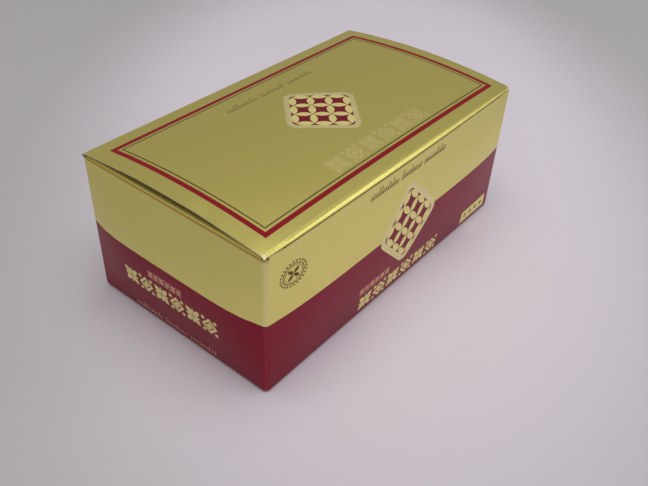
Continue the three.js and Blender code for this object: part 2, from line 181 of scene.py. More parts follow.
# The carton is one sheet of half-millimetre board, faced outside with satin gold foil film and printed
# burgundy over the lower half of its walls. Inside it is plain pale board, and its cut edges are raw.
wall_x, wall_y, lid_level = 0.080, 0.0455, 0.063
upright_fold, band_top = 0.002, 0.0332


def shader_group(name, inputs, outputs):
    group = bpy.data.node_groups.new(name, "ShaderNodeTree")
    for socket_name, kind, value in inputs:
        socket = group.interface.new_socket(name=socket_name, in_out="INPUT", socket_type=kind)
        socket.default_value = value
    for socket_name, kind in outputs:
        group.interface.new_socket(name=socket_name, in_out="OUTPUT", socket_type=kind)
    return group, group.nodes.new("NodeGroupInput"), group.nodes.new("NodeGroupOutput")


def calc(tree, operation, a, b=None):
    node = tree.nodes.new("ShaderNodeMath")
    node.operation = operation
    for socket, value in zip(node.inputs, (a, b)):
        if isinstance(value, (int, float)):
            socket.default_value = value
        elif value is not None:
            tree.links.new(value, socket)
    return node.outputs[0]


def place_axes(tree):
    place_node = tree.nodes.new("ShaderNodeTexCoord")
    axes = tree.nodes.new("ShaderNodeSeparateXYZ")
    tree.links.new(place_node.outputs["Object"], axes.inputs[0])
    return axes.outputs


def unevenness(tree, scale, detail):
    place_node = tree.nodes.new("ShaderNodeTexCoord")
    noise = tree.nodes.new("ShaderNodeTexNoise")
    noise.inputs["Detail"].default_value = detail
    tree.links.new(place_node.outputs["Object"], noise.inputs["Vector"])
    if isinstance(scale, int):
        noise.inputs["Scale"].default_value = scale
    else:
        tree.links.new(scale, noise.inputs["Scale"])
    return noise.outputs["Fac"]


def clamped(tree, value):
    clamp = tree.nodes.new("ShaderNodeClamp")
    tree.links.new(value, clamp.inputs[0])
    return clamp.outputs[0]


def relief(tree, height, strength, distance):
    bump = tree.nodes.new("ShaderNodeBump")
    bump.inputs["Strength"].default_value = strength
    bump.inputs["Distance"].default_value = distance
    tree.links.new(height, bump.inputs["Height"])
    tree.links.new(bump.outputs[0], tree.nodes["Principled BSDF"].inputs["Normal"])


# A grain group gives the fine unevenness of a calendered film and the slow waves of a thin sheet.
foil_grain, grain_in, grain_out = shader_group(
    "foil_grain",
    [("Grain size", "NodeSocketFloat", 2200.0), ("Wave size", "NodeSocketFloat", 26.0),
     ("Wave share", "NodeSocketFloat", 0.7)],
    [("Height", "NodeSocketFloat"), ("Mottle", "NodeSocketFloat")])
fine = unevenness(foil_grain, grain_in.outputs["Grain size"], 3)
slow = unevenness(foil_grain, grain_in.outputs["Wave size"], 1)
waves = calc(foil_grain, "MULTIPLY", slow, grain_in.outputs["Wave share"])
speck_share = calc(foil_grain, "SUBTRACT", 1.0, grain_in.outputs["Wave share"])
specks = calc(foil_grain, "MULTIPLY", fine, speck_share)
foil_grain.links.new(calc(foil_grain, "ADD", waves, specks), grain_out.inputs["Height"])
foil_grain.links.new(fine, grain_out.inputs["Mottle"])

# A wear group marks where the board is folded or rubbed: there the film is a little paler and duller, partly
# from real rubbing and partly as a painted sheen that whitens the glint on the folds.
fold_wear_and_sheen, wear_and_sheen_in, wear_and_sheen_out = shader_group(
    "fold_wear_and_sheen",
    [("Half length", "NodeSocketFloat", wall_x), ("Half width", "NodeSocketFloat", wall_y),
     ("Reach", "NodeSocketFloat", 0.0016)],
    [("Wear and sheen", "NodeSocketFloat")])
axes = place_axes(fold_wear_and_sheen)
from_end = calc(fold_wear_and_sheen, "ABSOLUTE", calc(fold_wear_and_sheen, "SUBTRACT", wear_and_sheen_in.outputs["Half length"],
                                            calc(fold_wear_and_sheen, "ABSOLUTE", axes["X"])))
from_side = calc(fold_wear_and_sheen, "ABSOLUTE", calc(fold_wear_and_sheen, "SUBTRACT", wear_and_sheen_in.outputs["Half width"],
                                             calc(fold_wear_and_sheen, "ABSOLUTE", axes["Y"])))
from_corner = calc(fold_wear_and_sheen, "MAXIMUM", from_end, from_side)
from_table = calc(fold_wear_and_sheen, "MINIMUM", calc(fold_wear_and_sheen, "ABSOLUTE", axes["Z"]), from_corner)
nearness = calc(fold_wear_and_sheen, "SUBTRACT", 1.0, calc(fold_wear_and_sheen, "DIVIDE", from_table, wear_and_sheen_in.outputs["Reach"]))
patches = calc(fold_wear_and_sheen, "MULTIPLY", nearness, unevenness(fold_wear_and_sheen, 420, 4))
fold_wear_and_sheen.links.new(calc(fold_wear_and_sheen, "MAXIMUM", patches, 0.0), wear_and_sheen_out.inputs["Wear and sheen"])


def foil_nodes(tree, gold, wear_and_sheen_gold=(0.95, 0.90, 0.62), wear_and_sheen_share=1.1):
    grain = tree.nodes.new("ShaderNodeGroup")
    grain.node_tree = foil_grain
    wear_and_sheen = tree.nodes.new("ShaderNodeGroup")
    wear_and_sheen.node_tree = fold_wear_and_sheen
    darker, brighter = tuple(c * 0.965 for c in gold), tuple(min(c * 1.03, 1) for c in gold)
    film = blended_colour(tree, grain.outputs["Mottle"], darker, brighter)
    # Paler film where the mask is high: real rub, and a painted sheen that whitens the glint on folds.
    rubbed_and_sheen = calc(tree, "MULTIPLY", wear_and_sheen.outputs["Wear and sheen"], wear_and_sheen_share)
    relief(tree, grain.outputs["Height"], 0.10, 0.0006)
    return blended_colour(tree, rubbed_and_sheen, film, wear_and_sheen_gold), wear_and_sheen


gold_colour = (0.83, 0.76, 0.235)
burgundy_colour = (0.27, 0.012, 0.034)
gold_metallic, burgundy_metallic, satin = 0.92, 0.76, 0.36
# The second value sets how strongly the painted reflection line along the end walls' tops shows.
ink_edge_sharpness, painted_reflection_strength = 12000.0, 1.4
board_foil, tree, shader = finish_named("gold_foil_with_burgundy_band")
gold_face, wear_and_sheen = foil_nodes(tree, gold_colour)
axes = place_axes(tree)
below = calc(tree, "SUBTRACT", band_top, axes["Z"])
band = clamped(tree, calc(tree, "MULTIPLY", below, ink_edge_sharpness))
worn_ink = blended_colour(tree, wear_and_sheen.outputs["Wear and sheen"], burgundy_colour, (0.42, 0.10, 0.11))
# A thin amber line is painted along the tops of the end walls, where the dust flaps fold in: a painted
# reflection on the curved fold.
painted_reflection_level, painted_reflection_half_height = 0.0613, 0.00042
off_painted_reflection = calc(tree, "ABSOLUTE", calc(tree, "SUBTRACT", axes["Z"], painted_reflection_level))
near_painted_reflection = calc(tree, "SUBTRACT", 1.0, calc(tree, "DIVIDE", off_painted_reflection, painted_reflection_half_height))
painted_reflection_line = calc(tree, "MULTIPLY", near_painted_reflection, painted_reflection_strength)
on_an_end = calc(tree, "GREATER_THAN", calc(tree, "ABSOLUTE", axes["X"]), wall_x - upright_fold + 0.0001)
painted_reflection_share = clamped(tree, calc(tree, "MULTIPLY", painted_reflection_line, on_an_end))
with_painted_reflection = blended_colour(tree, painted_reflection_share, gold_face, (0.62, 0.39, 0.10))
tree.links.new(blended_colour(tree, band, with_painted_reflection, worn_ink), shader.inputs["Base Color"])
less_metal = calc(tree, "MULTIPLY", band, gold_metallic - burgundy_metallic)
tree.links.new(calc(tree, "SUBTRACT", gold_metallic, less_metal), shader.inputs["Metallic"])
shader.inputs["Specular IOR Level"].default_value = 0.2
shader.inputs["Roughness"].default_value = satin

lid_foil, tree, shader = finish_named("gold_foil")
# On the lid the paler film is whiter and stronger round its corners, where the front fold meets the ends:
# there it is partly real rub and partly a painted highlight for the fold's white glint.
gold_face, wear_and_sheen = foil_nodes(tree, gold_colour, wear_and_sheen_gold=(1.0, 0.98, 0.85), wear_and_sheen_share=1.6)
wear_and_sheen.inputs["Half width"].default_value = wall_y - 0.0009
wear_and_sheen.inputs["Reach"].default_value = 0.0020
tree.links.new(gold_face, shader.inputs["Base Color"])
shader.inputs["Metallic"].default_value = gold_metallic
shader.inputs["Roughness"].default_value = satin

# The inside is uncoated folding-box board, with the fine fibre of its surface.
inner_board, tree, shader = finish_named("pale_board")
fibre = unevenness(tree, 900, 6)
fibre_colour = blended_colour(tree, fibre, (0.60, 0.58, 0.53), (0.74, 0.72, 0.67))
tree.links.new(fibre_colour, shader.inputs["Base Color"])
relief(tree, fibre, 0.25, 0.0001)
shader.inputs["Roughness"].default_value = 0.85

# Its cut edge shows the board's layers as fine brownish lines.
cut_edge, tree, shader = finish_named("cut_board_edge")
plies = unevenness(tree, 1500, 5)
edge_colour = blended_colour(tree, plies, (0.42, 0.36, 0.17), (0.56, 0.49, 0.27))
tree.links.new(edge_colour, shader.inputs["Base Color"])
shader.inputs["Roughness"].default_value = 0.8


# A finished sheet is a merged copy of its solid. Each face gets foil, plain board or raw edge by what it is:
# a broad face has the sheet's other face close behind it, and foil is on the side away from the middle.
def finished_sheet(name, node, foil, trims):
    carton_middle = Vector((0, 0, 0.031))
    merge_within, start_under, look_through = 2e-6, 2e-5, 0.0014
    foil_side, board_side, raw_edge = 0, 1, 2
    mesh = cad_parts[node].data.copy()
    mesh.name = name
    mesh.materials.clear()
    for finish in (foil, inner_board, cut_edge):
        mesh.materials.append(finish)
    sheet = bmesh.new()
    sheet.from_mesh(mesh)
    bmesh.ops.remove_doubles(sheet, verts=sheet.verts, dist=merge_within)
    for trim in trims:
        trim(sheet)
    sheet.faces.ensure_lookup_table()
    sheet.normal_update()
    tree = BVHTree.FromBMesh(sheet)
    for face in sheet.faces:
        centre = face.calc_center_median()
        behind = tree.ray_cast(centre - face.normal * start_under, -face.normal, look_through)[0]
        if behind is None:
            face.material_index = raw_edge
        elif face.normal.dot(centre - carton_middle) > 0:
            face.material_index = foil_side
        else:
            face.material_index = board_side
        face.smooth = True
    sheet.to_mesh(mesh)
    sheet.free()
    mesh.set_sharp_from_angle(angle=math.radians(32))
    piece = bpy.data.objects.new(name, mesh)
    bpy.context.scene.collection.objects.link(piece)
    weighted = piece.modifiers.new("even_normals", "WEIGHTED_NORMAL")
    weighted.keep_sharp = True
    return piece


def cut_across(sheet, chosen, at, normal):
    around = {part for face in sheet.faces if chosen(face) for part in (face, *face.edges, *face.verts)}
    bmesh.ops.bisect_plane(sheet, geom=list(around), dist=1e-6, plane_co=at, plane_no=normal)


# The four upright corners turn in at their feet, as the folds beside them do.
def turn_in_feet(sheet):
    post_x, post_y, bottom_fold = wall_x - upright_fold, wall_y - upright_fold, 0.0015

    def of_a_post(face):
        return all(abs(v.co.x) > post_x - 1e-5 and abs(v.co.y) > post_y - 1e-5 for v in face.verts)

    for height in (0.0007, 0.0011, bottom_fold):
        cut_across(sheet, of_a_post, (0, 0, height), (0, 0, 1))
    for vert in sheet.verts:
        if vert.co.z > bottom_fold - 1e-6 or not all(of_a_post(face) for face in vert.link_faces):
            continue
        out_x, out_y = abs(vert.co.x) - post_x, abs(vert.co.y) - post_y
        inset = bottom_fold - math.sqrt(bottom_fold ** 2 - (bottom_fold - vert.co.z) ** 2)
        keep = 1 - inset / math.hypot(out_x, out_y)
        vert.co.x = math.copysign(post_x + out_x * keep, vert.co.x)
        vert.co.y = math.copysign(post_y + out_y * keep, vert.co.y)


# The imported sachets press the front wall's free top edge a little outwards, and it ends close under the
# lid's front fold.
def push_out_front_edge(sheet):
    plain_top, edge_inner, straight_to = lid_level - 0.0015, wall_y - 0.0007, 0.052
    edge_push, edge_rise, cut_step = 0.0009, 0.0003, 0.01

    def of_the_edge(face):
        at_front = all(v.co.y < -edge_inner and abs(v.co.x) < wall_x - 0.0019 for v in face.verts)
        return at_front and any(v.co.z > plain_top - 1e-5 for v in face.verts)

    for k in range(-7, 8):
        cut_across(sheet, of_the_edge, (cut_step * k, 0, 0), (1, 0, 0))
    for vert in sheet.verts:
        across = min(abs(vert.co.x) / (wall_x - upright_fold), 1)
        if vert.co.y > -edge_inner or vert.co.z < straight_to:
            continue
        height = min((vert.co.z - straight_to) / (plain_top - straight_to), 1)
        vert.co.y -= edge_push * (1 - across ** 2) * height * height * (3 - 2 * height)
        if vert.co.z > plain_top - 1e-5:
            vert.co.z += edge_rise * (1 - across ** 6)


carton_board = finished_sheet("carton_board", "carton_body", board_foil, (turn_in_feet, push_out_front_edge))
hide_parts("carton_body")
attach(carton_board, "carton")


# The lid is the same sheet, creased along the back wall's top edge, and it bows up towards the fold that
# carries its tuck flap. That fold is tight at the corners. Towards the middle it opens into a rounder,
# slightly flattened strip that follows the front wall outwards.
def open_front_fold(sheet):
    fold_radius, fold_y, fold_bow, opening = 0.0012, wall_y - 0.0020, 0.0013, 0.0010
    first, last = math.radians(9), math.radians(83)
    middle, half = (first + last) / 2, (last - first) / 2
    for vert in sheet.verts:
        bowed = 1 - (vert.co.x / wall_x) ** 2
        fold_top = lid_level + fold_bow * bowed * (wall_y - vert.co.y) / (2 * wall_y)
        out, up = -vert.co.y - fold_y, vert.co.z - fold_top + fold_radius
        reach, turn = math.hypot(out, up), math.atan2(up, out)
        if out < 1e-5 or turn < math.radians(-12) or reach > fold_radius + 2e-5:
            continue
        opened = reach + opening * bowed
        if reach > fold_radius - 2e-5 and abs(turn - middle) < half:
            flatness = 0.30 + 0.25 * bowed
            opened *= 1 - flatness + flatness * math.cos(half) / math.cos(turn - middle)
        vert.co.y = -fold_y - opened * math.cos(turn)
        vert.co.z = fold_top - fold_radius - opening * bowed + opened * math.sin(turn)


lid_board = finished_sheet("lid_board", "lid", lid_foil, (open_front_fold,))
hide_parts("lid")
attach(lid_board, "lid")

# The crease between the back wall and the lid is the board itself, bent round as the lid swings. The strip
# lies a hair proud of both sheets: first a short straight run up the wall, and then round the fold.
crease_half, crease_rows, crease_sweep = 0.0797, 16, math.radians(40)
hinge_fold, board, hair = 0.0012, 0.0005, 0.00002
straight_share, straight_foot, straight_run = 0.25, 0.0018, 0.0006
rows = []
for i in range(crease_rows + 1):
    turn = i / crease_rows
    if turn < straight_share:
        rows.append((wall_y, lid_level - straight_foot + (turn / straight_share) * straight_run, 0.0))
    else:
        angle = (turn - straight_share) / (1 - straight_share) * crease_sweep
        rows.append((wall_y - hinge_fold + hinge_fold * math.cos(angle),
                     lid_level - hinge_fold + hinge_fold * math.sin(angle), angle))
vertices, faces = [], []
for y, z, angle in rows:
    for depth in (-hair, board - hair):
        for x in (-crease_half, crease_half):
            vertices.append((x, y - depth * math.cos(angle), z - depth * math.sin(angle)))
for a in range(0, 4 * crease_rows, 4):
    b = a + 4
    faces += [(a, a + 1, b + 1, b), (a + 3, a + 2, b + 2, b + 3)]
    faces += [(a + 2, a, b, b + 2), (a + 1, a + 3, b + 3, b + 1)]
last = 4 * crease_rows
faces += [(0, 2, 3, 1), (last, last + 1, last + 3, last + 2)]
hinge_crease = plain_mesh("hinge_crease", vertices, faces)
hinge_crease.data.materials.append(lid_foil)
hinge_crease.data.materials.append(inner_board)
crease_mesh = bmesh.new()
crease_mesh.from_mesh(hinge_crease.data)
bmesh.ops.recalc_face_normals(crease_mesh, faces=crease_mesh.faces)
for face in crease_mesh.faces:
    face.smooth = True
    face.material_index = 1 if face.normal.y < -0.2 else 0
crease_mesh.to_mesh(hinge_crease.data)
crease_mesh.free()
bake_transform(hinge_crease)


# The print lies on the foil as flat fields of coloured and of gold ink. Each field is drawn in millimetres on
# its face, cut into cells fine enough to follow the swelling, laid on the sheet and given a hair's thickness.
def surface_of(piece):
    corners = [vert.co for vert in piece.data.vertices]
    return BVHTree.FromPolygons(corners, [face.vertices[:] for face in piece.data.polygons])


carton_surface, lid_surface = surface_of(carton_board), surface_of(lid_board)
far_off, print_root, millimetres = 0.2, -0.06, 1000


def on_front(u, v, out):
    start = Vector((u / millimetres, -far_off, v / millimetres))
    met = carton_surface.ray_cast(start, Vector((0, 1, 0)))[0]
    return met - Vector((0, out / millimetres, 0))


def on_left_end(u, v, out):
    start = Vector((-far_off, -u / millimetres, v / millimetres))
    met = carton_surface.ray_cast(start, Vector((1, 0, 0)))[0]
    return met - Vector((out / millimetres, 0, 0))


def on_lid(u, v, out):
    start = Vector((u / millimetres, v / millimetres, far_off))
    met = lid_surface.ray_cast(start, Vector((0, 0, -1)))[0]
    return met + Vector((0, 0, out / millimetres))


def printed_fields(name, shapes, face_of, finish, body, proud=0.035):
    cell, lift = 1.5, 100
    field = bmesh.new()
    for shape in shapes:
        outer, holes = shape if isinstance(shape, tuple) else (shape, [])
        edges = []
        for loop in (outer, *holes):
            corners = [field.verts.new((u, v, 0)) for u, v in loop]
            edges += [field.edges.new(pair) for pair in zip(corners, corners[1:] + corners[:1])]
        bmesh.ops.triangle_fill(field, edges=edges, use_beauty=True, use_dissolve=False, normal=(0, 0, 1))
    bmesh.ops.remove_doubles(field, verts=field.verts, dist=1e-5)
    spans = [(min(v.co[k] for v in field.verts), max(v.co[k] for v in field.verts)) for k in (0, 1)]
    for normal, (low, high) in zip((Vector((1, 0, 0)), Vector((0, 1, 0))), spans):
        step = math.ceil(low / cell) * cell
        while step < high:
            bmesh.ops.bisect_plane(field, geom=field.verts[:] + field.edges[:] + field.faces[:], dist=1e-5,
                                   plane_co=normal * step, plane_no=normal)
            step += cell
    for face in field.faces:
        if face.normal.z < 0:
            face.normal_flip()
    raised = bmesh.ops.extrude_face_region(field, geom=field.faces[:])["geom"]
    for vert in (part for part in raised if isinstance(part, bmesh.types.BMVert)):
        vert.co.z = lift
    bmesh.ops.recalc_face_normals(field, faces=field.faces)
    for vert in field.verts:
        vert.co = face_of(vert.co.x, vert.co.y, proud if vert.co.z > lift / 2 else print_root)
    mesh = bpy.data.meshes.new(name)
    field.to_mesh(mesh)
    field.free()
    mesh.materials.append(finish)
    piece = bpy.data.objects.new(name, mesh)
    bpy.context.scene.collection.objects.link(piece)
    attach(piece, body)


def rounded_box(cu, cv, half_u, half_v, radius, turn=0.0, steps=6):
    points = []
    for signs, start in (((1, 1), 0), ((-1, 1), 90), ((-1, -1), 180), ((1, -1), 270)):
        for i in range(steps + 1):
            angle = math.radians(start + 90 * i / steps)
            points.append((signs[0] * (half_u - radius) + radius * math.cos(angle),
                           signs[1] * (half_v - radius) + radius * math.sin(angle)))
    c, s = math.cos(turn), math.sin(turn)
    return [(cu + u * c - v * s, cv + u * s + v * c) for u, v in points]


def ring(cu, cv, outer, inner, steps=40):
    loops = [[(cu + r * math.cos(2 * math.pi * i / steps), cv + r * math.sin(2 * math.pi * i / steps))
              for i in range(steps)] for r in (outer, inner)]
    return loops[0], [loops[1]]


def printed_finish(name, colour, metallic, roughness):
    finish, tree, shader = finish_named(name)
    tree.links.new(foil_nodes(tree, colour)[0], shader.inputs["Base Color"])
    shader.inputs["Metallic"].default_value = metallic
    shader.inputs["Roughness"].default_value = roughness
    shader.inputs["Specular IOR Level"].default_value = 0.2
    return finish


frame_ink = printed_finish("crimson_line_ink", (0.28, 0.005, 0.016), 0.15, 0.45)
emblem_ink = printed_finish("burgundy_field_ink", (0.24, 0.010, 0.028), 0.45, 0.42)
fine_ink = printed_finish("olive_line_ink", (0.05, 0.032, 0.012), 0.20, 0.5)
pale_gold = printed_finish("pale_gold_ink", (0.88, 0.80, 0.40), 0.76, 0.43)
bare_gold = printed_finish("bright_gold_ink", (0.93, 0.83, 0.36), 0.55, 0.45)
ghost_gold = printed_finish("embossed_gold", (0.84, 0.77, 0.31), 0.90, 0.42)
copper_ink = printed_finish("brown_line_ink", (0.22, 0.115, 0.035), 0.30, 0.45)
umber_ink = printed_finish("olive_brown_ink", (0.30, 0.22, 0.075), 0.50, 0.45)
rose_ink = printed_finish("rose_gold_ink", (0.80, 0.42, 0.28), 0.50, 0.42)


# A burgundy frame is printed on the lid, and a thin dark line runs inside it, a little over a millimetre in.
# Both are sharp-cornered and keep the same distance from the lid's edges all round.
def frame_shape(half_u, half_v, line):
    outer, inner = (rounded_box(0.5, -0.5, half_u - inset, half_v - inset, 0.05, steps=1)
                    for inset in (0, line))
    return [(outer, [inner])]


printed_fields("lid_frame_print", frame_shape(73.3, 38.6, 2.0), on_lid, frame_ink, "lid")
printed_fields("lid_line_print", frame_shape(70.15, 35.45, 0.43), on_lid, fine_ink, "lid")


# An emblem stands on the lid and another on the front wall: a rounded square on its corner, burgundy on a
# paler gold ground, filled with the traditional pattern of interlocked circles.
def lens(cu, cv, length, width, turn, steps=8):
    points = []
    radius = (length * length / 4 + width * width / 4) / width
    reach = math.asin(length / 2 / radius)
    for side in (1, -1):
        for i in range(steps):
            angle = reach - 2 * reach * i / steps
            rise = radius * math.cos(angle) - radius + width / 2
            points.append((side * radius * math.sin(angle), side * rise))
    c, s = math.cos(turn), math.sin(turn)
    return [(cu + u * c - v * s, cv + u * s + v * c) for u, v in points]


def circle_pattern(cu, cv, pitch, count):
    petals = []
    length, width, eighth = pitch * 0.96, pitch * 0.42, math.pi / 4
    for i in range(count):
        for j in range(count + 1):
            a, b = (i - (count - 1) / 2) * pitch, (j - count / 2) * pitch
            for u, v, turn in ((a, b, 0.0), (b, a, math.pi / 2)):
                c = math.cos(eighth)
                petals.append(lens(cu + (u - v) * c, cv + (u + v) * c, length, width, turn + eighth))
    return petals


def emblem(name, cu, cv, half, halo, face_of, body):
    ground_corner, field_corner, circles_across, eighth = 4.6, 2.6, 3.35, math.pi / 4
    ground = rounded_box(cu, cv, half + halo, half + halo, ground_corner, eighth)
    field = rounded_box(cu, cv, half, half, field_corner, eighth)
    pattern = circle_pattern(cu, cv, half * 2 / circles_across, 3)
    printed_fields(name + "_ground_print", [ground], face_of, pale_gold, body, proud=0.03)
    printed_fields(name + "_field_print", [field], face_of, emblem_ink, body, proud=0.05)
    printed_fields(name + "_pattern_print", pattern, face_of, bare_gold, body, proud=0.07)


emblem("lid_emblem", 1.1, -1.4, 12.4, 2.3, on_lid, "lid")
emblem("front_emblem", 1.8, 32.6, 12.2, 2.6, on_front, "carton")


# Rows of gold ornament tiles run along the foot of the front and end walls, and a faint embossed row on the
# lid. An eight-petalled flower turns with a pair of nested lozenges, each drawn in a square of half size 1.
def flower_tile():
    petals, out = [], 0.66
    for k in range(4):
        diagonal, straight = math.radians(45 + 90 * k), math.radians(90 * k)
        petals.append(lens(out * math.cos(diagonal), out * math.sin(diagonal), 1.18, 0.62, diagonal))
        petals.append(lens(out * math.cos(straight), out * math.sin(straight), 0.64, 0.27, straight, steps=5))
    return petals


def lozenge_tile():
    outer = rounded_box(0, 0, 0.72, 0.72, 0.05, math.pi / 4, steps=1)
    hole = rounded_box(0, 0, 0.44, 0.44, 0.04, math.pi / 4, steps=1)
    inner = rounded_box(0, 0, 0.31, 0.31, 0.04, math.pi / 4, steps=1)
    corners = [rounded_box(0.80 * a, 0.80 * b, 0.19, 0.19, 0.03, steps=1)
               for a in (-1, 1) for b in (-1, 1)]
    return [(outer, [hole]), inner, *corners]


def tile_row(name, u0, u1, v0, v1, count, face_of, finish, body):
    gap_share = 0.10
    pitch, half_v = (u1 - u0) / count, (v1 - v0) / 2
    half_u = pitch * (1 - gap_share) / 2

    def placed(loop, middle):
        return [(middle + u * half_u, v0 + half_v + v * half_v) for u, v in loop]

    shapes = []
    for i in range(count):
        middle = u0 + (i + 0.5) * pitch
        for shape in (flower_tile() if i % 2 == 0 else lozenge_tile()):
            outer, holes = shape if isinstance(shape, tuple) else (shape, [])
            shapes.append((placed(outer, middle), [placed(hole, middle) for hole in holes]))
    printed_fields(name, shapes, face_of, finish, body)


tile_row("front_row_print", -27.2, 31.3, 2.6, 10.2, 6, on_front, bare_gold, "carton")
tile_row("front_small_row_print", -27.7, -7.2, 12.0, 15.6, 6, on_front, rose_ink, "carton")
tile_row("end_row_print", -26.6, 24.4, 15.2, 23.0, 6, on_left_end, bare_gold, "carton")
tile_row("end_small_row_print", -11.6, 6.8, 24.7, 28.2, 6, on_left_end, rose_ink, "carton")
tile_row("lid_ghost_row_print", -30.0, 30.5, -34.5, -26.0, 6, on_lid, ghost_gold, "lid")

# A plain gold label lies at the front wall's lower right corner, with four small brown lozenges on it.
printed_fields("front_label_print", [rounded_box(64.0, 5.8, 11.0, 3.3, 0.7)], on_front, bare_gold, "carton")
printed_fields("front_label_marks", [rounded_box(64.0 + k, 5.8, 1.0, 1.0, 0.1, math.pi / 4, steps=1)
                                     for k in (-7.2, -2.4, 2.4, 7.2)],
               on_front, umber_ink, "carton", proud=0.06)


# Fine rows of slanted strokes joined by hairlines are printed in brown on the lid and the front wall and in
# rose gold on the end wall. A Geometry Nodes row sets them out along a line in millimetres, standing on one
# foot line, some tall and most short, and the row is then laid on its face.
def nodes_group(name, inputs):
    group = bpy.data.node_groups.new(name, "GeometryNodeTree")
    group.interface.new_socket(name="Geometry", in_out="OUTPUT", socket_type="NodeSocketGeometry")
    for socket_name, kind, value in inputs:
        socket = group.interface.new_socket(name=socket_name, in_out="INPUT", socket_type=kind)
        if value is not None:
            socket.default_value = value
    return group, group.nodes.new("NodeGroupInput"), group.nodes.new("NodeGroupOutput")


def plain_result(name, group, values):
    carrier = plain_mesh(name, [], [])
    modifier = carrier.modifiers.new("row", "NODES")
    modifier.node_group = group
    for item in group.interface.items_tree:
        if item.in_out == "INPUT" and item.name in values:
            modifier[item.identifier] = values[item.name]
    made = bpy.data.meshes.new_from_object(carrier.evaluated_get(bpy.context.evaluated_depsgraph_get()))
    carrier.modifiers.remove(modifier)
    made.name = name
    carrier.data = made
    return carrier


stroke_row, row_in, row_out = nodes_group("stroke_row", [
    ("Start", "NodeSocketFloat", 0.0), ("Pitch", "NodeSocketFloat", 1.0), ("Count", "NodeSocketInt", 12),
    ("Foot", "NodeSocketFloat", 0.0), ("Stroke width", "NodeSocketFloat", 0.40),
    ("Stroke height", "NodeSocketFloat", 3.4), ("Tall share", "NodeSocketFloat", 0.25),
    ("Slant", "NodeSocketFloat", -0.30), ("Hairline slant", "NodeSocketFloat", -0.85),
    ("Seed", "NodeSocketInt", 3), ("Ink", "NodeSocketMaterial", None)])
line = stroke_row.nodes.new("GeometryNodeMeshLine")
start = stroke_row.nodes.new("ShaderNodeCombineXYZ")
offset = stroke_row.nodes.new("ShaderNodeCombineXYZ")
stroke = stroke_row.nodes.new("GeometryNodeMeshCube")
stroke_size = stroke_row.nodes.new("ShaderNodeCombineXYZ")
stroke_size.inputs[2].default_value = 1.0
half_up = stroke_row.nodes.new("ShaderNodeCombineXYZ")
stood_up = stroke_row.nodes.new("GeometryNodeTransform")
low = stroke_row.nodes.new("FunctionNodeRandomValue")
low.inputs[2].default_value, low.inputs[3].default_value = 0.48, 0.62
tall = stroke_row.nodes.new("FunctionNodeRandomValue")
tall.data_type = "BOOLEAN"
tall_rise = calc(stroke_row, "MULTIPLY", tall.outputs[3], 0.38)
height = calc(stroke_row, "ADD", low.outputs[1], tall_rise)
stretch = stroke_row.nodes.new("ShaderNodeCombineXYZ")
stretch.inputs[0].default_value = stretch.inputs[2].default_value = 1.0
lean = stroke_row.nodes.new("ShaderNodeCombineXYZ")
place = stroke_row.nodes.new("GeometryNodeInstanceOnPoints")
hair_lean = stroke_row.nodes.new("ShaderNodeCombineXYZ")
hairs = stroke_row.nodes.new("GeometryNodeInstanceOnPoints")
hairs.inputs["Scale"].default_value = (0.42, 0.60, 1.0)
both = stroke_row.nodes.new("GeometryNodeJoinGeometry")
joined = stroke_row.nodes.new("GeometryNodeRealizeInstances")
inked = stroke_row.nodes.new("GeometryNodeSetMaterial")
for source, target in (
        (row_in.outputs["Start"], start.inputs[0]),
        (row_in.outputs["Foot"], start.inputs[1]),
        (row_in.outputs["Pitch"], offset.inputs[0]),
        (row_in.outputs["Count"], line.inputs["Count"]),
        (start.outputs[0], line.inputs["Start Location"]),
        (offset.outputs[0], line.inputs["Offset"]),
        (row_in.outputs["Stroke width"], stroke_size.inputs[0]),
        (row_in.outputs["Stroke height"], stroke_size.inputs[1]),
        (calc(stroke_row, "MULTIPLY", row_in.outputs["Stroke height"], 0.5), half_up.inputs[1]),
        (stroke_size.outputs[0], stroke.inputs["Size"]),
        (stroke.outputs[0], stood_up.inputs["Geometry"]),
        (half_up.outputs[0], stood_up.inputs["Translation"]),
        (row_in.outputs["Seed"], low.inputs["Seed"]),
        (row_in.outputs["Seed"], tall.inputs["Seed"]),
        (row_in.outputs["Tall share"], tall.inputs["Probability"]),
        (height, stretch.inputs[1]),
        (row_in.outputs["Slant"], lean.inputs[2]),
        (row_in.outputs["Hairline slant"], hair_lean.inputs[2]),
        (line.outputs[0], place.inputs["Points"]),
        (stood_up.outputs[0], place.inputs["Instance"]),
        (lean.outputs[0], place.inputs["Rotation"]),
        (stretch.outputs[0], place.inputs["Scale"]),
        (line.outputs[0], hairs.inputs["Points"]),
        (stood_up.outputs[0], hairs.inputs["Instance"]),
        (hair_lean.outputs[0], hairs.inputs["Rotation"]),
        (place.outputs[0], both.inputs[0]),
        (hairs.outputs[0], both.inputs[0]),
        (both.outputs[0], joined.inputs[0]),
        (joined.outputs[0], inked.inputs[0]),
        (row_in.outputs["Ink"], inked.inputs["Material"]),
        (inked.outputs[0], row_out.inputs[0])):
    stroke_row.links.new(source, target)


def laid_on(piece, face_of, body, proud=0.035):
    for vert in piece.data.vertices:
        vert.co = face_of(vert.co.x, vert.co.y, proud if vert.co.z > 0 else print_root)
    turned = bmesh.new()
    turned.from_mesh(piece.data)
    bmesh.ops.recalc_face_normals(turned, faces=turned.faces)
    turned.to_mesh(piece.data)
    turned.free()
    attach(piece, body)


def stroke_words(name, words, foot, size, ink, face_of, body):
    stroke_pitch, first_seed = 1.35, 5
    for k, (u0, u1) in enumerate(words):
        count = max(3, round((u1 - u0) / stroke_pitch))
        row = plain_result(f"{name}_{k + 1}", stroke_row, {
            "Start": u0, "Pitch": (u1 - u0) / (count - 1), "Count": count, "Foot": foot,
            "Stroke height": size, "Seed": first_seed + k, "Ink": ink})
        laid_on(row, face_of, body)


